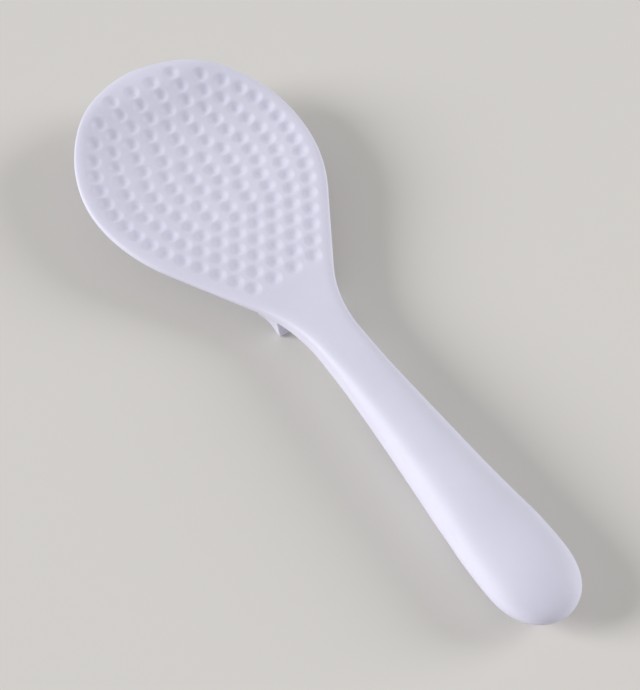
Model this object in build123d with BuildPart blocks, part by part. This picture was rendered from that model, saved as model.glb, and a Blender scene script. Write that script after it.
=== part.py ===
import os
from math import asin, cos, degrees, radians, sin, sqrt, tan

from build123d import *

# A white moulded rice paddle that stands on a foot under its neck and on the low point of its handle.
# Millimetres. +X runs from the handle's end to the blade's tip, +Z is up, and the table is at Z = 0.
# The origin is on the table under the middle of the paddle's length.

# Blade outline: a small arc at the tip, two larger arcs at each side, a straight flank, a hollow neck arc.
# The side arcs meet at the widest place, and their centres lie beyond the middle line by the reaches
overall_length = 209.2
blade_width = 69.2
tip_radius = 12.4
front_arc_reach = 5.0
back_arc_reach = 17.8
flank_angle = 31.1
neck_radius = 44.3
neck_width = 13.4

# Blade plate: dished across, level along its middle, curving up to the tip and rolling level again there
blade_thickness = 3.0
blade_top_height = 10.7
dish_radius = 245.0
rise_distance = 46.9
rise_radius = 102.0
roll_distance = 12.3
roll_radius = 20.6
upper_rim_radius = 1.3
lower_rim_radius = 0.9

# Dimples: straight rows across the blade from the tip to the neck, each row spread evenly inside the margin
dimple_diameter = 4.4
dimple_depth = 0.6
dimple_overrun = 0.08
dimple_margin = 5.4
dimple_row_pitch = 4.72
tip_row_distance = 8.5
dimples_in_row = (4, 6, 8, 9, 9, 9, 10, 10, 10, 9, 9, 9, 8, 7, 6, 5, 4)

# Neck and handle: the joint is set from the neck arc's start, heights from the table
joint_to_neck_arc = 2.0
grip_width = 24.3
crest_height = 15.5
rest_depth = 0.12
end_top_height = 14.8
end_underside_height = 1.4
end_cap_length = 17.8
neck_edge_radius = 1.3

# Places along the neck, as shares of the way from the blade joint to the narrowest place, and what they have
# there: shares of the rise to the crest, of the drop to the table, and of the way from slab to full oval
neck_place_shares = (0.16, 0.42, 0.70, 1.0)
neck_rise_shares = (0.052, 0.1875, 0.354, 0.52)
neck_drop_shares = (0.032, 0.126, 0.22, 0.344)
neck_oval_shares = (0.02, 0.06, 0.14, 0.28)

# Places along the handle, as shares of the way from the narrowest place to the widest, and what they have
# there: the same three, and before them shares of the way from the neck's width to the grip's
handle_place_shares = (0.20, 0.42, 0.71, 0.87, 1.0)
handle_width_shares = (0.065, 0.29, 0.655, 0.90, 1.0)
handle_rise_shares = (0.785, 0.965, 0.978, 0.92, 0.875)
handle_drop_shares = (0.57, 0.786, 1.0, 0.87, 0.82)
handle_oval_shares = (0.50, 0.75, 0.92, 1.0, 1.0)

# Rounded end from the grip's widest place: places along its length, and powers that set how blunt it is in
# plan and from the side. A full oval's crown and edge radius are shares of half its height
end_place_shares = (0.30, 0.56, 0.76, 0.89, 0.96, 0.992)
end_plan_power = 2.6
end_side_power = 2.0
oval_crown_share = 0.55
oval_edge_share = 0.56

# Foot under the neck: a wedge with a hollow sloping front and an upright back, as wide as the neck. The
# shares are of its height, and there of the way from the bottom's length and width to the root's
joint_to_foot_back = 8.1
foot_root_length = 7.8
foot_root_depth = 1.2
foot_bottom_length = 1.7
foot_bottom_width = 18.4
foot_side_inset = 0.3
foot_edge_radius = 0.3
foot_height_shares = (0.0, 0.45, 0.75, 1.0)
foot_length_shares = (0.0, 0.30, 0.58, 1.0)
foot_width_shares = (0.0, 0.45, 0.78, 1.0)

# Hollow of the handle with its ribs: its front is a share of the way from the narrowest place to the end
wall = 2.9
hollow_front_share = 0.191
rib_thickness = 1.4
rib_count = 3

# Back cover under the hollow: a plate with two round ends, its flat seat, and a lip that locates it. Its front
# circle's centre is a share of the way from the narrowest place to the end
cover_front_share = 0.263
cover_front_radius = 4.0
end_to_cover_centre = 14.5
cover_end_radius = 8.4
cover_gap = 0.1
seat_height = 4.5
seat_width = 1.5
ledge_thickness = 1.5
lip_height = 1.4
lip_thickness = 1.3
lip_gap = 0.15
lip_headroom = 0.5

overrun = 4.0

# The least upright share of a face's normal that makes it part of the blade's top or underside
skin_slant = 0.5

# Derived places
tip_x = overall_length / 2
end_x = -overall_length / 2
half_blade = blade_width / 2
half_neck = neck_width / 2
half_grip = grip_width / 2
front_radius = half_blade + front_arc_reach
back_radius = half_blade + back_arc_reach
blade_underside_height = blade_top_height - blade_thickness


def x_at(distance):
    """The X of a place that lies this far from the blade's tip."""
    return tip_x - distance


flank_slope = radians(flank_angle)
tip_centre_x = tip_x - tip_radius
tip_turn = asin((front_radius - half_blade) / (front_radius - tip_radius))
tip_arc_x = tip_centre_x + tip_radius * cos(tip_turn)
side_centre_x = tip_centre_x - (front_radius - tip_radius) * cos(tip_turn)
flank_start_x = side_centre_x - back_radius * sin(flank_slope)
flank_start_y = half_blade - back_radius * (1 - cos(flank_slope))
flank_end_y = half_neck + neck_radius * (1 - cos(flank_slope))
flank_end_x = flank_start_x - (flank_start_y - flank_end_y) / tan(flank_slope)
neck_x = flank_end_x - neck_radius * sin(flank_slope)
joint_x = flank_end_x + joint_to_neck_arc
grip_x = end_x + end_cap_length
foot_back_x = joint_x - joint_to_foot_back
hollow_front_x = neck_x + hollow_front_share * (end_x - neck_x)
hollow_end_x = end_x + wall
hollow_middle_x = (hollow_front_x + hollow_end_x) / 2
rib_pitch = (hollow_front_x - hollow_end_x) / (rib_count + 1)
cover_front_x = neck_x + cover_front_share * (end_x - neck_x)
cover_end_x = end_x + end_to_cover_centre
lip_room_height = seat_height + lip_height + lip_headroom
above = (Align.CENTER, Align.CENTER, Align.MIN)


def half_width(x, inset=0.0):
    """Half the width at x of the plan outline moved inwards by inset, from the tip to the neck."""
    if x > tip_arc_x:
        return sqrt((tip_radius - inset) ** 2 - (x - tip_centre_x) ** 2)
    if x > side_centre_x:
        return half_blade - front_radius + sqrt((front_radius - inset) ** 2 - (x - side_centre_x) ** 2)
    if x > flank_start_x:
        return half_blade - back_radius + sqrt((back_radius - inset) ** 2 - (x - side_centre_x) ** 2)
    if x > flank_end_x:
        return flank_start_y - (flank_start_x - x) * tan(flank_slope) - inset / cos(flank_slope)
    return half_neck + neck_radius - sqrt((neck_radius + inset) ** 2 - (x - neck_x) ** 2)


rise_x = x_at(rise_distance)
roll_x = x_at(roll_distance)
rise_turn = asin((roll_x - rise_x) / rise_radius)
roll_start_height = blade_top_height + rise_radius * (1 - cos(rise_turn))
roll_centre_x = roll_x + roll_radius * sin(rise_turn)
roll_centre_height = roll_start_height - roll_radius * cos(rise_turn)
roll_turn = rise_turn + asin((tip_x + blade_thickness - roll_centre_x) / roll_radius)
blade_peak_height = roll_centre_height + roll_radius + half_blade ** 2 / (2 * dish_radius)


def blade_line(x):
    """The height and the slope, in radians, of the blade's top along its middle at x."""
    if x > roll_x:
        turn = asin((x - roll_centre_x) / roll_radius)
        return roll_centre_height + roll_radius * cos(turn), -turn
    if x > rise_x:
        turn = asin((x - rise_x) / rise_radius)
        return blade_top_height + rise_radius * (1 - cos(turn)), turn
    return blade_top_height, 0.0


dimple_radius = (dimple_diameter ** 2 / 4 + dimple_depth ** 2) / (2 * dimple_depth)
dimple_cap_latitude = -degrees(asin(1 - (dimple_depth + dimple_overrun) / dimple_radius))


def dimple_place(x, y):
    """The centre and the upright of the ball that presses a dimple into the dished blade at x and y."""
    height, slope = blade_line(x)
    lean = asin(y / dish_radius)
    reach = dish_radius - dimple_radius + dimple_depth
    lift = dish_radius - reach * cos(lean)
    centre = (x - lift * sin(slope), reach * sin(lean), height + lift * cos(slope))
    upright = (-sin(slope) * cos(lean), -sin(lean), cos(slope) * cos(lean))
    return Plane(origin=centre, x_dir=(cos(slope), 0, sin(slope)), z_dir=upright)


def dimple_row(row, count):
    """The places of one straight row of dimples, evenly spread between the inset outline's sides."""
    x = x_at(tip_row_distance + row * dimple_row_pitch)
    outer_y = half_width(x, dimple_margin)
    return [dimple_place(x, outer_y * (2 * index / (count - 1) - 1)) for index in range(count)]


def section(x, half, top, underside, crown, edge_radius, dish=0.0):
    """A closed cross-section at x: bulged by crown above and below, dished, with rounded edges."""
    upper_edge = top - crown + dish
    lower_edge = underside + crown + dish
    with BuildSketch(Plane.YZ.offset(x)) as shape:
        with BuildLine():
            upper = ThreePointArc((-half, upper_edge), (0, top), (half, upper_edge))
            side = Line(upper @ 1, (half, lower_edge))
            lower = ThreePointArc(side @ 1, (0, underside), (-half, lower_edge))
            Line(lower @ 1, upper @ 0)
        make_face()
        fillet(shape.vertices(), edge_radius)
    return shape.sketch


def oval_section(x, half, top, underside, oval, inset=0.0, dish=0.0):
    """A cross-section between a slab with small edges and a full oval, moved inwards by inset."""
    half_height = (top - underside) / 2
    crown = oval * oval_crown_share * half_height
    edge = neck_edge_radius + oval * (oval_edge_share * half_height - neck_edge_radius)
    inner = (half_height - inset) / half_height
    return section(x, half - inset, top - inset, underside + inset, crown * inner, edge * inner, dish)


def top_at(rise_share):
    return blade_top_height + rise_share * (crest_height - blade_top_height)


def underside_at(drop_share):
    return blade_underside_height * (1 - drop_share) - (rest_depth if drop_share == 1 else 0)


def neck_sections():
    """The cross-sections from the blade joint to the narrowest place."""
    sections = []
    table = zip(neck_place_shares, neck_rise_shares, neck_drop_shares, neck_oval_shares)
    for place, rise, drop, oval in table:
        x = joint_x + place * (neck_x - joint_x)
        half = half_width(x)
        dish = (1 - place) * half ** 2 / (2 * dish_radius)
        sections.append(oval_section(x, half, top_at(rise), underside_at(drop), oval, dish=dish))
    return sections


def handle_sections(inset=0.0):
    """The cross-sections from the handle's first place to its end, moved inwards by inset."""
    sections = []
    heights = zip(handle_rise_shares, handle_drop_shares, handle_oval_shares)
    for place, width, (rise, drop, oval) in zip(handle_place_shares, handle_width_shares, heights):
        x = neck_x + place * (grip_x - neck_x)
        half = half_neck + width * (half_grip - half_neck)
        sections.append(oval_section(x, half, top_at(rise), underside_at(drop), oval, inset))
    middle = (end_top_height + end_underside_height) / 2
    half_height = (end_top_height - end_underside_height) / 2 - inset
    for place in end_place_shares:
        x = grip_x - (end_cap_length - inset) * place / end_place_shares[-1]
        half = (half_grip - inset) * sqrt(1 - place ** end_plan_power)
        height = half_height * (1 - place ** end_side_power) ** (1 / end_side_power)
        sections.append(oval_section(x, half, middle + height, middle - height, 1.0))
    return sections


def foot_sections():
    """The foot's level cross-sections from the table to its root inside the neck."""
    sections = []
    root_height = blade_underside_height + foot_root_depth
    for rise, lengthening, widening in zip(foot_height_shares, foot_length_shares, foot_width_shares):
        front_x = foot_back_x + foot_bottom_length + lengthening * (foot_root_length - foot_bottom_length)
        bottom_y = foot_bottom_width / 2
        back_y = bottom_y + widening * (half_width(foot_back_x, foot_side_inset) - bottom_y)
        front_y = bottom_y + widening * (half_width(front_x, foot_side_inset) - bottom_y)
        corners = ((foot_back_x, -back_y), (front_x, -front_y), (front_x, front_y), (foot_back_x, back_y))
        with BuildSketch(Plane.XY.offset(rise * root_height)) as level:
            with BuildLine():
                Polyline(*corners, close=True)
            make_face()
        sections.append(level.sketch)
    return sections


def rim_edges(form, side):
    """The rim edges of the blade's top (side 1) or underside (side -1), without those of the joint."""
    walls = form.faces().filter_by(lambda face: abs(face.normal_at().Z) < skin_slant).sort_by(Axis.X)[1:]
    skin = form.faces().filter_by(lambda face: side * face.normal_at().Z > skin_slant)
    return walls.edges() & skin.edges()


# Blade with its rounded rims
with BuildPart() as blade_form:
    with BuildSketch():
        with BuildLine():
            tip_arc = CenterArc((tip_centre_x, 0), tip_radius, 0, degrees(tip_turn))
            front_centre = (side_centre_x, half_blade - front_radius)
            front_arc = CenterArc(front_centre, front_radius, degrees(tip_turn), 90 - degrees(tip_turn))
            back_arc = CenterArc((side_centre_x, half_blade - back_radius), back_radius, 90, flank_angle)
            flank = Line(back_arc @ 1, (joint_x, half_width(joint_x)))
            Line(flank @ 1, (joint_x, 0))
            mirror(about=Plane.XZ)
        make_face()
    extrude(amount=blade_peak_height + overrun)
    with BuildLine(Plane.XZ) as blade_path:
        level = Line((joint_x, blade_top_height), (rise_x, blade_top_height))
        rise = JernArc(level @ 1, level % 1, rise_radius, degrees(rise_turn))
        roll = JernArc(rise @ 1, rise % 1, roll_radius, -degrees(roll_turn))
    with BuildSketch(Plane.YZ.offset(joint_x)) as slab:
        slab_half = half_blade + overrun
        upper_edge = blade_top_height + dish_radius - sqrt(dish_radius ** 2 - slab_half ** 2)
        lower_radius = dish_radius + blade_thickness
        lower_edge = blade_top_height + dish_radius - sqrt(lower_radius ** 2 - slab_half ** 2)
        with BuildLine():
            upper = ThreePointArc((-slab_half, upper_edge), (0, blade_top_height), (slab_half, upper_edge))
            side = Line(upper @ 1, (slab_half, lower_edge))
            lower = ThreePointArc(side @ 1, (0, blade_underside_height), (-slab_half, lower_edge))
            Line(lower @ 1, upper @ 0)
        make_face()
    sweep(path=blade_path.wire(), mode=Mode.INTERSECT)
    fillet(rim_edges(blade_form, 1), upper_rim_radius)
    fillet(rim_edges(blade_form, -1), lower_rim_radius)
    joint_face = blade_form.faces().filter_by(Axis.X).sort_by(Axis.X)[0]
    for row, count in enumerate(dimples_in_row):
        with Locations(dimple_row(row, count)):
            Sphere(dimple_radius, arc_size2=dimple_cap_latitude, align=None, mode=Mode.SUBTRACT)

# Neck and handle as one smooth form from the blade's end face to the rounded end
with BuildPart() as trunk_form:
    loft([joint_face] + neck_sections() + handle_sections())

# Core one wall inside the handle's skin
with BuildPart() as core_form:
    loft(handle_sections(wall))
    split(bisect_by=Plane.YZ.offset(hollow_front_x), keep=Keep.BOTTOM)

# Hollow of the handle above the cover's ledge, broken by the ribs
with BuildPart() as hollow_form:
    add(core_form.part)
    split(bisect_by=Plane.XY.offset(seat_height + ledge_thickness), keep=Keep.TOP)
    with Locations((hollow_middle_x, 0, lip_room_height)):
        with GridLocations(rib_pitch, 0, rib_count, 1):
            Box(rib_thickness, grip_width, crest_height, align=above, mode=Mode.SUBTRACT)


def cover_outline(inset):
    """The back cover's outline moved inwards by inset: two round ends joined by straight sides."""
    with BuildSketch() as outline:
        with Locations((cover_front_x, 0)):
            Circle(cover_front_radius - inset)
        with Locations((cover_end_x, 0)):
            Circle(cover_end_radius - inset)
        make_hull()
    return outline.sketch


# Body: blade, neck, foot and the shell of the handle, moulded as one piece
with BuildPart() as paddle_body:
    add(blade_form.part)
    add(trunk_form.part)
    loft(foot_sections())
    foot_bottom = paddle_body.faces().filter_by(Axis.Z).sort_by(Axis.Z)[0]
    fillet(foot_bottom.edges(), foot_edge_radius)
    add(hollow_form.part, mode=Mode.SUBTRACT)
    with BuildSketch(Plane.XY.offset(-overrun)):
        add(cover_outline(0))
    extrude(amount=overrun + seat_height, mode=Mode.SUBTRACT)
    with BuildSketch(Plane.XY.offset(-overrun)):
        add(cover_outline(seat_width))
    extrude(amount=overrun + lip_room_height, mode=Mode.SUBTRACT)
paddle_body.part.label = "paddle_body"

# Pocket that thins the cover inside its lip
with BuildPart() as pocket_form:
    add(core_form.part)
    with BuildSketch():
        add(cover_outline(seat_width + lip_gap + lip_thickness))
    extrude(amount=seat_height, mode=Mode.INTERSECT)

# Back cover: a plate of the handle's underside with its lip, cut flat where it rests on the table
with BuildPart() as handle_back_cover:
    with BuildSketch():
        add(cover_outline(cover_gap))
    extrude(amount=seat_height)
    add(trunk_form.part, mode=Mode.INTERSECT)
    with BuildSketch(Plane.XY.offset(seat_height)):
        add(cover_outline(seat_width + lip_gap))
        add(cover_outline(seat_width + lip_gap + lip_thickness), mode=Mode.SUBTRACT)
    extrude(amount=lip_height)
    add(pocket_form.part, mode=Mode.SUBTRACT)
handle_back_cover.part.label = "handle_back_cover"

os.makedirs("parts", exist_ok=True)
export_step(paddle_body.part, "parts/paddle_body.step")
export_step(handle_back_cover.part, "parts/handle_back_cover.step")
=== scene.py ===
import bmesh
import bpy
import numpy as np
from math import asin, cos, pi, radians, sin, sqrt, tan
from mathutils import Matrix, Vector


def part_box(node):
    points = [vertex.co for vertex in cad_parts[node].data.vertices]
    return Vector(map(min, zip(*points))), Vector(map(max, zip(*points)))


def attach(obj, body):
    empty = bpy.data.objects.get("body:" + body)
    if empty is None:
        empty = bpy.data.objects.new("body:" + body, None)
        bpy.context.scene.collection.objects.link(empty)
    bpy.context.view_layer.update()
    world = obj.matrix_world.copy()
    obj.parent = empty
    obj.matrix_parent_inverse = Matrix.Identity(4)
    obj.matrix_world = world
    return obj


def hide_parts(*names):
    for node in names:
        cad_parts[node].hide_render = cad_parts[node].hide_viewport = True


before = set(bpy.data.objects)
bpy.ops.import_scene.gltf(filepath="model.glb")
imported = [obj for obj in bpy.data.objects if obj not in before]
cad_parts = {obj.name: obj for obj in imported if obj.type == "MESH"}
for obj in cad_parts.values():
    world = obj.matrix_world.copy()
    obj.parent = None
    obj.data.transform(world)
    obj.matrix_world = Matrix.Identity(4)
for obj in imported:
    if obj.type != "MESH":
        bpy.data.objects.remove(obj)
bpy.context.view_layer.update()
body_low, body_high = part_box("paddle_body")
cover_low, cover_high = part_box("handle_back_cover")

# Lengths are in metres in the model's frame. +X runs from the handle's end to the blade's tip,
# and +Z is up.
end_x = body_low[0]
tip_x = body_high[0]
half_blade = body_high[1]

# Blade outline in plan
tip_radius = 0.0124
front_radius = half_blade + 0.0050
back_radius = half_blade + 0.0178
flank_slope = radians(31.1)
neck_radius = 0.0443
half_neck = 0.0067

# Blade plate
blade_top = 0.0107
blade_thickness = 0.0030
dish_radius = 0.245
rise_distance = 0.0469
rise_radius = 0.102
roll_distance = 0.0123
roll_radius = 0.0206
upper_rim_width = 0.0034
upper_rim_depth = 0.0014
lower_rim_width = 0.0009
lower_rim_depth = 0.0009
slope_step = 0.0002

# Dimples: rows from the tip to the neck
dimple_radius = 0.0026
dimple_depth = 0.00085
dimple_softness = 1.6
dimple_margin = 0.0054
dimple_row_pitch = 0.00472
tip_row_distance = 0.0085
dimples_in_row = (4, 6, 8, 9, 9, 9, 10, 10, 10, 9, 9, 9, 8, 7, 6, 5, 4)

# Neck and handle: distance from the blade's tip, then the value there. The heights and half
# widths aren't hand-chosen: a scratch script that fitted the paddle's shape to the photo gave
# them, and they were then scaled and a few of them adjusted. The oval shares are given.
top_places = (
    (0.0700, 0.01070), (0.0780, 0.01073), (0.0875, 0.01097), (0.0977, 0.01172), (0.1049, 0.01243),
    (0.1130, 0.01325), (0.1232, 0.01413), (0.1334, 0.01483), (0.1436, 0.01530), (0.1538, 0.01548),
    (0.1640, 0.01545), (0.1742, 0.01525), (0.1844, 0.01502), (0.1946, 0.01483), (0.2100, 0.01470),
)
underside_places = (
    (0.0700, 0.00770), (0.0780, 0.00770), (0.0875, 0.00764), (0.0926, 0.00731), (0.0977, 0.00678),
    (0.1028, 0.00625), (0.1079, 0.00567), (0.1130, 0.00499), (0.1181, 0.00436), (0.1232, 0.00378),
    (0.1334, 0.00272), (0.1436, 0.00176), (0.1538, 0.00082), (0.1640, 0.00006), (0.1680, -0.00012),
    (0.1742, 0.00040), (0.1844, 0.00128), (0.1946, 0.00138), (0.2100, 0.00145),
)
width_places = (
    (0.1124, 0.00670), (0.1181, 0.00668), (0.1232, 0.00680), (0.1334, 0.00740), (0.1436, 0.00821),
    (0.1538, 0.00907), (0.1640, 0.00998), (0.1742, 0.01104), (0.1844, 0.01200), (0.1914, 0.01215),
    (0.2100, 0.01215),
)
oval_places = (
    (0.0860, 0.0), (0.0940, 0.03), (0.1040, 0.12), (0.1124, 0.25), (0.1280, 0.52), (0.1450, 0.78),
    (0.1675, 0.94), (0.1800, 1.0), (0.2100, 1.0),
)
end_cap_length = 0.0178
end_plan_power = 2.6
end_side_power = 2.0
oval_power = 2.1
smallest_half_width = 1e-9

# Foot: its half width on the table, and its height at distances in front of its upright back
foot_back_x = tip_x - 0.0955
foot_half_width = 0.0092
foot_places = (
    (0.0, 0.0006), (0.00012, 0.00026), (0.00028, 0.0001), (0.00055, 0.0), (0.0012, 0.0),
    (0.0015, 0.00018), (0.0019, 0.0007), (0.0026, 0.0022), (0.0036, 0.0042), (0.0047, 0.0059),
    (0.0060, 0.0070), (0.0073, 0.0077), (0.0088, 0.0080),
)
foot_corner_radius = 0.0008
foot_side_share = 0.3
foot_corner_share = 0.3
foot_corner_limit = 0.5
foot_blend_share = 0.12

# Back cover: two round ends joined by straight sides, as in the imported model
cover_front_radius = 0.0039
cover_end_radius = 0.0083
cover_gap = 0.0001
seat_height = 0.0045
block_bottom = -0.001
block_front_points = 32
block_end_points = 40

# Meshes: how close points are merged, and the angle from which an edge is sharp
skin_merge = 2e-6
block_merge = 1e-7
sharp_angle = radians(50)


def smooth_line(places, x):
    """A smooth curve through the given places, without overshoot, at distances x."""
    px = np.array([place[0] for place in places])
    py = np.array([place[1] for place in places])
    steps = np.diff(px)
    slopes = np.diff(py) / steps
    tangents = np.zeros(len(px))
    for i in range(1, len(px) - 1):
        if slopes[i - 1] * slopes[i] > 0:
            a = 2 * steps[i] + steps[i - 1]
            b = steps[i] + 2 * steps[i - 1]
            tangents[i] = (a + b) / (a / slopes[i - 1] + b / slopes[i])
    tangents[0] = slopes[0]
    tangents[-1] = slopes[-1]
    i = np.clip(np.searchsorted(px, x) - 1, 0, len(px) - 2)
    u = np.clip((x - px[i]) / steps[i], 0, 1)
    return (
        py[i] * (1 + 2 * u) * (1 - u) ** 2
        + tangents[i] * steps[i] * u * (1 - u) ** 2
        + py[i + 1] * u ** 2 * (3 - 2 * u)
        + tangents[i + 1] * steps[i] * u ** 2 * (u - 1)
    )


tip_centre_x = tip_x - tip_radius
tip_turn = asin((front_radius - half_blade) / (front_radius - tip_radius))
tip_arc_x = tip_centre_x + tip_radius * cos(tip_turn)
side_x = tip_centre_x - (front_radius - tip_radius) * cos(tip_turn)
flank_start_x = side_x - back_radius * sin(flank_slope)
flank_start_y = half_blade - back_radius * (1 - cos(flank_slope))
flank_end_y = half_neck + neck_radius * (1 - cos(flank_slope))
flank_end_x = flank_start_x - (flank_start_y - flank_end_y) / tan(flank_slope)
neck_x = flank_end_x - neck_radius * sin(flank_slope)
end_cap_x = end_x + end_cap_length


def root(value):
    """The square root, or 0 where there is none."""
    return np.sqrt(np.maximum(value, 0))


def half_width(x):
    """Half the outline's width at x."""
    x = np.asarray(x, dtype=float)
    tip = root(tip_radius ** 2 - (x - tip_centre_x) ** 2)
    front = half_blade - front_radius + root(front_radius ** 2 - (x - side_x) ** 2)
    back = half_blade - back_radius + root(back_radius ** 2 - (x - side_x) ** 2)
    flank = flank_start_y - (flank_start_x - x) * tan(flank_slope)
    neck = half_neck + neck_radius - root(neck_radius ** 2 - (x - neck_x) ** 2)
    cap = root(1 - np.clip((end_cap_x - x) / end_cap_length, 0, 1) ** end_plan_power)
    handle = smooth_line(width_places, tip_x - x) * cap
    cases = [x > tip_arc_x, x > side_x, x > flank_start_x, x > flank_end_x, x > neck_x]
    return np.select(cases, [tip, front, back, flank, neck], handle)


def rim_distance(x, y):
    """The distance from a point of the plan to the outline's side."""
    y = np.abs(y)
    tip = tip_radius - np.hypot(x - tip_centre_x, y)
    front_y = half_blade - front_radius
    front = front_radius - np.hypot(x - side_x, y - front_y)
    back = back_radius - np.hypot(x - side_x, y - half_blade + back_radius)
    flank = (flank_start_y - (flank_start_x - x) * tan(flank_slope) - y) * cos(flank_slope)
    neck = np.hypot(x - neck_x, y - half_neck - neck_radius) - neck_radius
    half = half_width(x)
    lean = (half_width(x + slope_step) - half_width(x - slope_step)) / (2 * slope_step)
    handle = (half - y) / np.sqrt(1 + lean ** 2)
    in_tip = (x > tip_centre_x) & (y < (x - tip_centre_x) * tan(tip_turn))
    # The flank and the neck arc are bounded by the outline's normals at their ends
    normal_x, normal_y = sin(flank_slope), cos(flank_slope)
    before_flank = (x - flank_start_x) * normal_y + (y - flank_start_y) * normal_x > 0
    before_neck = (x - flank_end_x) * normal_y + (y - flank_end_y) * normal_x > 0
    cases = [in_tip, x > side_x, before_flank, before_neck, x > neck_x]
    return np.select(cases, [tip, front, back, flank, neck], handle)


rise_x = tip_x - rise_distance
roll_x = tip_x - roll_distance
rise_turn = asin((roll_x - rise_x) / rise_radius)
roll_centre_x = roll_x + roll_radius * sin(rise_turn)
roll_centre_z = blade_top + rise_radius * (1 - cos(rise_turn)) - roll_radius * cos(rise_turn)


def middle_height(x):
    """The height of the top along the middle line, without the dimples."""
    rise = blade_top + rise_radius - root(rise_radius ** 2 - np.maximum(x - rise_x, 0) ** 2)
    roll = roll_centre_z + root(roll_radius ** 2 - (x - roll_centre_x) ** 2)
    handle = smooth_line(top_places, tip_x - x)
    return np.select([x > roll_x, x > tip_x - top_places[0][0]], [roll, rise], handle)


def middle_slope(x):
    """The slope of the top along the middle line."""
    return (middle_height(x + slope_step) - middle_height(x - slope_step)) / (2 * slope_step)


def underside_height(x):
    """The height of the underside along the middle line."""
    handle = smooth_line(underside_places, tip_x - x)
    blade = middle_height(x) - blade_thickness * np.sqrt(1 + middle_slope(x) ** 2)
    return np.where(x > tip_x - underside_places[0][0], blade, handle)


def rounding(distance, width, depth):
    """How far a rounded rim drops at this distance from the side."""
    left = 1 - np.clip(distance / width, 0, 1)
    return depth * (1 - np.sqrt(1 - left ** 2))


def skin_heights(x, y):
    """The heights of the top and the underside over the plan."""
    half = np.maximum(half_width(x), smallest_half_width)
    across = np.clip(np.abs(y) / half, 0, 1)
    top = middle_height(x)
    under = underside_height(x)
    oval = smooth_line(oval_places, tip_x - x)
    dish = (1 - oval) * y ** 2 / (2 * dish_radius) / np.sqrt(1 + middle_slope(x) ** 2)
    distance = rim_distance(x, y)
    slab_top = top + dish - rounding(distance, upper_rim_width, upper_rim_depth)
    slab_under = under + dish + rounding(distance, lower_rim_width, lower_rim_depth)
    into_cap = np.clip((end_cap_x - x) / end_cap_length, 0, 1)
    cap = (1 - into_cap ** end_side_power) ** (1 / end_side_power)
    middle = (top + under) / 2
    bulge = (top - under) / 2 * cap * (1 - across ** oval_power) ** (1 / oval_power)
    high = (1 - oval) * slab_top + oval * (middle + bulge)
    low = (1 - oval) * slab_under + oval * (middle - bulge)
    return high, np.maximum(low, 0)


def dimple_drop(x, y):
    """The depth of the dimples over the plan: round, hollow and soft at their edges."""
    drop = np.zeros(x.shape)
    for row, count in enumerate(dimples_in_row):
        row_x = tip_x - tip_row_distance - row * dimple_row_pitch
        outer_y = inset_half_width(row_x)
        stretch = sqrt(1 + float(middle_slope(np.array(row_x))) ** 2)
        for index in range(count):
            place_y = outer_y * (2 * index / (count - 1) - 1)
            near = np.hypot((x - row_x) * stretch, y - place_y) / dimple_radius
            drop += dimple_depth * np.clip(1 - near ** 2, 0, 1) ** dimple_softness
    return drop


def inset_half_width(x):
    """Half the width at x of the outline moved inwards by the dimples' margin."""
    if x > side_x:
        inset = front_radius - dimple_margin
        return half_blade - front_radius + sqrt(inset ** 2 - (x - side_x) ** 2)
    if x > flank_start_x:
        inset = back_radius - dimple_margin
        return half_blade - back_radius + sqrt(inset ** 2 - (x - side_x) ** 2)
    flank = flank_start_y - (flank_start_x - x) * tan(flank_slope)
    return flank - dimple_margin / cos(flank_slope)


# Stations along the paddle, closer at the tip, the foot and the end
blade_step = 0.00035
handle_step = 0.0008
foot_step = 0.0001
foot_back_lean = 0.00008
closing_count = 40
tip_zone = 0.0055
closing_shares = 1 - np.cos(np.linspace(0, pi / 2, closing_count))
tip_stations = tip_x - tip_zone * closing_shares
end_stations = end_x + end_cap_length * closing_shares
foot_front_x = foot_back_x + foot_places[-1][0]
foot_behind_x = foot_back_x - foot_back_lean
blade_stations = np.arange(tip_stations[-1] - blade_step, foot_front_x, -blade_step)
foot_stations = np.arange(foot_front_x, foot_back_x, -foot_step)
last_handle_x = end_stations[-1] + handle_step / 2
handle_stations = np.arange(foot_behind_x - blade_step, last_handle_x, -handle_step)
stations = np.concatenate([
    tip_stations,
    blade_stations,
    foot_stations,
    [foot_back_x, foot_behind_x],
    handle_stations,
    end_stations[::-1],
])

# Points in each ring around the paddle, and how far they are drawn to its sides
top_count = 200
wall_count = 5
bottom_count = 72
side_pull = 0.4


def spread(count):
    """Places from -1 to 1, a little closer at both sides."""
    even = np.linspace(-1, 1, count)
    return (1 - side_pull) * even + side_pull * np.sin(even * pi / 2)


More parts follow.
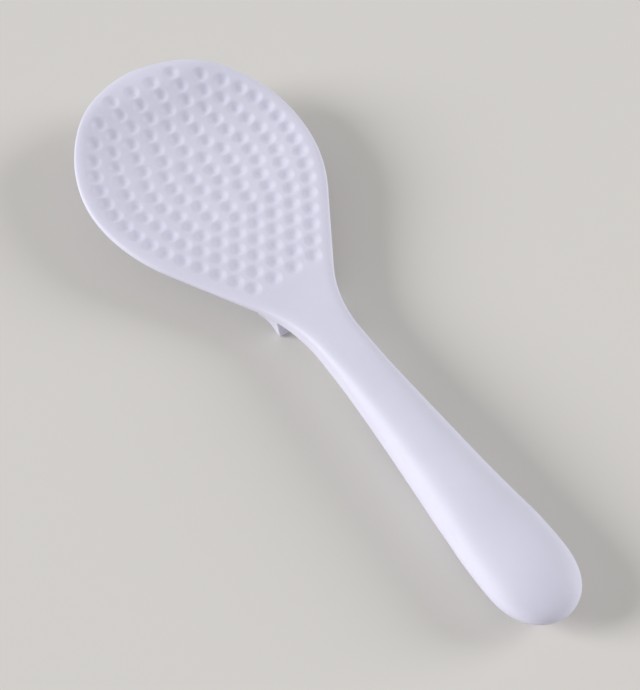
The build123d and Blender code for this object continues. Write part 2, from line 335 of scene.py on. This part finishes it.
def ring_grid():
    """The skin's points: a closed ring for each station, as top, wall, underside and other wall."""
    x = stations[:, None]
    half = half_width(stations)[:, None]
    across = spread(top_count)[None, :]
    top_y = half * across
    top_x = np.broadcast_to(x, top_y.shape)
    top_z = skin_heights(top_x, top_y)[0] - dimple_drop(top_x, top_y)
    across = spread(bottom_count)[None, ::-1]
    under_y = half * across
    under_x = np.broadcast_to(x, under_y.shape)
    under_z = skin_heights(under_x, under_y)[1]

    # The foot's rings: down its sides from the neck's edge, then across its bottom
    ahead = x - foot_back_x
    highest_under = under_z.max(axis=1, keepdims=True)
    foot_z = np.minimum(smooth_line(foot_places, np.clip(ahead, 0, None)), highest_under)
    middle_z = skin_heights(x, 0 * x)[1]
    depth = np.clip((middle_z - foot_z) / middle_z, 0, 1)
    foot_side = half + (foot_half_width - half) * depth
    inwards = 1 - np.abs(across)
    edge_z = under_z[:, :1]
    corner = np.minimum(foot_corner_radius, (edge_z - foot_z) * foot_corner_limit)
    down = np.clip(inwards / foot_side_share, 0, 1)
    side_y = half + (foot_side - half) * down
    side_z = edge_z + (foot_z + corner - edge_z) * down
    bend = np.clip((inwards - foot_side_share) / foot_corner_share, 0, 1) * pi / 2
    corner_y = foot_side - corner * (1 - np.cos(bend))
    corner_z = foot_z + corner * (1 - np.sin(bend))
    flat_y = (foot_side - corner) * (1 - inwards) / (1 - foot_side_share - foot_corner_share)
    parts = [inwards < foot_side_share, inwards < foot_side_share + foot_corner_share]
    foot_y = np.sign(across) * np.select(parts, [side_y, corner_y], flat_y)
    ring_z = np.select(parts, [side_z, corner_z], foot_z)
    at_foot = (ahead >= 0) & (ahead < foot_places[-1][0])
    share = np.clip(depth / foot_blend_share, 0, 1) * at_foot
    share = share * share * (3 - 2 * share)
    under_y = under_y + (foot_y - under_y) * share
    under_z = under_z + (ring_z - under_z) * share

    down_walls = np.linspace(0, 1, wall_count + 2)[None, 1:-1]
    high_z = top_z[:, -1:]
    low_z = under_z[:, :1]
    wall_z = high_z + (low_z - high_z) * down_walls
    wall_y = np.broadcast_to(half, wall_z.shape)
    ys = np.concatenate([top_y, wall_y, under_y, -wall_y], axis=1)
    zs = np.concatenate([top_z, wall_z, under_z, wall_z[:, ::-1]], axis=1)
    xs = np.broadcast_to(x, ys.shape)
    return np.stack([xs, ys, zs], axis=2)


def mesh_object(name, points, faces, merge):
    """A mesh object from points and faces, with points that coincide merged."""
    mesh = bpy.data.meshes.new(name)
    mesh.from_pydata([tuple(point) for point in points], [], faces)
    shape = bmesh.new()
    shape.from_mesh(mesh)
    bmesh.ops.remove_doubles(shape, verts=shape.verts, dist=merge)
    bmesh.ops.dissolve_degenerate(shape, edges=shape.edges, dist=merge)
    bmesh.ops.recalc_face_normals(shape, faces=shape.faces)
    shape.to_mesh(mesh)
    shape.free()
    thing = bpy.data.objects.new(name, mesh)
    bpy.context.scene.collection.objects.link(thing)
    return thing


def skin_object():
    """The whole outside as one closed mesh."""
    grid = ring_grid()
    rings, around = grid.shape[:2]
    first = np.arange(rings - 1)[:, None] * around + np.arange(around)[None, :]
    ahead = np.roll(first, -1, axis=1)
    faces = np.stack([first, ahead, ahead + around, first + around], axis=2).reshape(-1, 4)
    return mesh_object("paddle_skin", grid.reshape(-1, 3), faces.tolist(), skin_merge)


def cover_prism(name, gap, height):
    """An upright block with the cover's outline widened by gap, from below the table up."""
    front_x = cover_high[0] - cover_front_radius
    back_x = cover_low[0] + cover_end_radius
    front_r = cover_front_radius + gap
    back_r = cover_end_radius + gap
    lean = asin((back_r - front_r) / (front_x - back_x))
    front_turns = np.linspace(-pi / 2 + lean, pi / 2 - lean, block_front_points)
    back_turns = np.linspace(-pi / 2 - lean, pi / 2 + lean, block_end_points)
    front = [(front_x + front_r * cos(turn), front_r * sin(turn)) for turn in front_turns]
    back = [(back_x - back_r * cos(turn), back_r * sin(-turn)) for turn in back_turns]
    outline = front + back
    count = len(outline)
    low = [(x, y, block_bottom) for x, y in outline]
    high = [(x, y, height) for x, y in outline]
    faces = [tuple(range(count))[::-1], tuple(range(count, 2 * count))]
    faces += [(i, (i + 1) % count, (i + 1) % count + count, i + count) for i in range(count)]
    return mesh_object(name, low + high, faces, block_merge)


def boolean(thing, cutter, operation):
    """The mesh of thing cut or kept by cutter."""
    change = thing.modifiers.new("cut", "BOOLEAN")
    change.operation = operation
    change.solver = "EXACT"
    change.object = cutter
    graph = bpy.context.evaluated_depsgraph_get()
    mesh = bpy.data.meshes.new_from_object(thing.evaluated_get(graph))
    thing.modifiers.clear()
    return mesh


def finish_shape(thing):
    """Smooth shading, with the sharp edges kept."""
    for polygon in thing.data.polygons:
        polygon.use_smooth = True
    thing.data.set_sharp_from_angle(angle=sharp_angle)


skin = skin_object()
wide_block = cover_prism("wide_block", cover_gap, seat_height)
tight_block = cover_prism("tight_block", 0.0, seat_height)
cover = skin.copy()
cover.name = "cover_skin"
cover.data = skin.data.copy()
bpy.context.scene.collection.objects.link(cover)
cover.data = boolean(cover, tight_block, "INTERSECT")
skin.data = boolean(skin, wide_block, "DIFFERENCE")
bpy.data.objects.remove(wide_block)
bpy.data.objects.remove(tight_block)
finish_shape(skin)
finish_shape(cover)


# Plastic: its colours, how rough it is, and the scales of its mottling, gloss, grain and waves
darker_white = (0.722, 0.716, 0.846, 1)
lighter_white = (0.745, 0.738, 0.868, 1)
least_roughness = 0.50
most_roughness = 0.60
mottling_scale = 45.0
gloss_scale = 160.0
grain_scale = 2600.0
wave_scale = 220.0


def plastic():
    """White satin moulded plastic: a fine moulded grain, faint mottling and a slight cool tint."""
    material = bpy.data.materials.new("white_satin_plastic")
    material.use_nodes = True
    nodes = material.node_tree.nodes
    links = material.node_tree.links
    nodes.clear()
    output = nodes.new("ShaderNodeOutputMaterial")
    shader = nodes.new("ShaderNodeBsdfPrincipled")
    links.new(shader.outputs["BSDF"], output.inputs["Surface"])
    place = nodes.new("ShaderNodeTexCoord")

    def noise(scale, detail):
        """Noise in the object's own metres: a scale of 100 gives spots of about 10 mm."""
        texture = nodes.new("ShaderNodeTexNoise")
        texture.inputs["Scale"].default_value = scale
        texture.inputs["Detail"].default_value = detail
        links.new(place.outputs["Object"], texture.inputs["Vector"])
        return texture

    cloud = noise(mottling_scale, 3.0)
    tint = nodes.new("ShaderNodeValToRGB")
    tint.color_ramp.elements[0].position = 0.35
    tint.color_ramp.elements[0].color = darker_white
    tint.color_ramp.elements[1].position = 0.65
    tint.color_ramp.elements[1].color = lighter_white
    links.new(cloud.outputs["Fac"], tint.inputs["Fac"])
    links.new(tint.outputs["Color"], shader.inputs["Base Color"])

    patches = noise(gloss_scale, 4.0)
    gloss = nodes.new("ShaderNodeMapRange")
    gloss.inputs["To Min"].default_value = least_roughness
    gloss.inputs["To Max"].default_value = most_roughness
    links.new(patches.outputs["Fac"], gloss.inputs["Value"])
    links.new(gloss.outputs["Result"], shader.inputs["Roughness"])

    grain = noise(grain_scale, 3.0)
    waves = noise(wave_scale, 2.0)
    fine = nodes.new("ShaderNodeBump")
    fine.inputs["Strength"].default_value = 0.12
    fine.inputs["Distance"].default_value = 0.00004
    links.new(grain.outputs["Fac"], fine.inputs["Height"])
    broad = nodes.new("ShaderNodeBump")
    broad.inputs["Strength"].default_value = 0.10
    broad.inputs["Distance"].default_value = 0.0002
    links.new(waves.outputs["Fac"], broad.inputs["Height"])
    links.new(fine.outputs["Normal"], broad.inputs["Normal"])
    links.new(broad.outputs["Normal"], shader.inputs["Normal"])

    shader.inputs["IOR"].default_value = 1.49
    shader.inputs["Specular IOR Level"].default_value = 0.4
    shader.inputs["Subsurface Weight"].default_value = 0.4
    shader.inputs["Subsurface Radius"].default_value = (1.0, 0.9, 0.95)
    shader.inputs["Subsurface Scale"].default_value = 0.0018
    return material


white = plastic()
for thing in (skin, cover):
    thing.data.materials.clear()
    thing.data.materials.append(white)
    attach(thing, "root")
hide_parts("paddle_body")
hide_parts("handle_back_cover")
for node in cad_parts.values():
    node.data.materials.clear()
    node.data.materials.append(white)


# Floor, lights and camera
def pale_floor():
    """A wide flat floor at the height of the part's resting faces."""
    mesh = bpy.data.meshes.new("floor")
    reach = 3.0
    corners = [(-reach, -reach, 0), (reach, -reach, 0), (reach, reach, 0), (-reach, reach, 0)]
    mesh.from_pydata(corners, [], [(0, 1, 2, 3)])
    thing = bpy.data.objects.new("floor", mesh)
    bpy.context.scene.collection.objects.link(thing)
    material = bpy.data.materials.new("pale_floor")
    material.use_nodes = True
    shader = material.node_tree.nodes["Principled BSDF"]
    shader.inputs["Base Color"].default_value = (0.72, 0.70, 0.67, 1)
    shader.inputs["Roughness"].default_value = 0.8
    mesh.materials.append(material)
    return thing


pale_floor()


def far_lamp(name, direction, width, strength):
    """A soft lamp far away in this direction, which takes up this angle of the sky."""
    light = bpy.data.lights.new(name, "SUN")
    light.angle = width
    light.energy = strength
    thing = bpy.data.objects.new(name, light)
    thing.rotation_euler = direction.to_track_quat("Z", "Y").to_euler()
    bpy.context.scene.collection.objects.link(thing)


camera_place = Vector((-0.2281, 0.1554, 0.4095))
camera_target = Vector((0.00084, 0.00136, 0.0))
camera_roll = radians(-0.364)
ahead = (camera_target - camera_place).normalized()
right = ahead.cross(Vector((0, 0, 1))).normalized()
away = Vector((ahead.x, ahead.y, 0)).normalized()
up = Vector((0, 0, 1))


def picture_direction(to_right, to_back, height):
    """A direction given as the picture sees it: to the right, away from the camera, and up."""
    return to_right * right + to_back * away + height * up


far_lamp("left_lamp", picture_direction(-1.0, -0.06, 0.42), radians(26), 2.5)
far_lamp("right_lamp", picture_direction(1.0, 0.26, 0.44), radians(30), 1.5)

world = bpy.data.worlds.new("studio")
bpy.context.scene.world = world
world.use_nodes = True
world.node_tree.nodes["Background"].inputs["Color"].default_value = (1.0, 1.0, 1.0, 1)
world.node_tree.nodes["Background"].inputs["Strength"].default_value = 0.39

camera = bpy.data.cameras.new("camera")
camera.lens = 92.95
camera.sensor_width = 36.0
camera.clip_start = 0.01
viewer = bpy.data.objects.new("camera", camera)
turn = ahead.to_track_quat("-Z", "Y").to_matrix().to_4x4() @ Matrix.Rotation(camera_roll, 4, "Z")
viewer.matrix_world = Matrix.Translation(camera_place) @ turn
bpy.context.scene.collection.objects.link(viewer)
bpy.context.scene.camera = viewer
bpy.context.scene.view_settings.view_transform = "Standard"
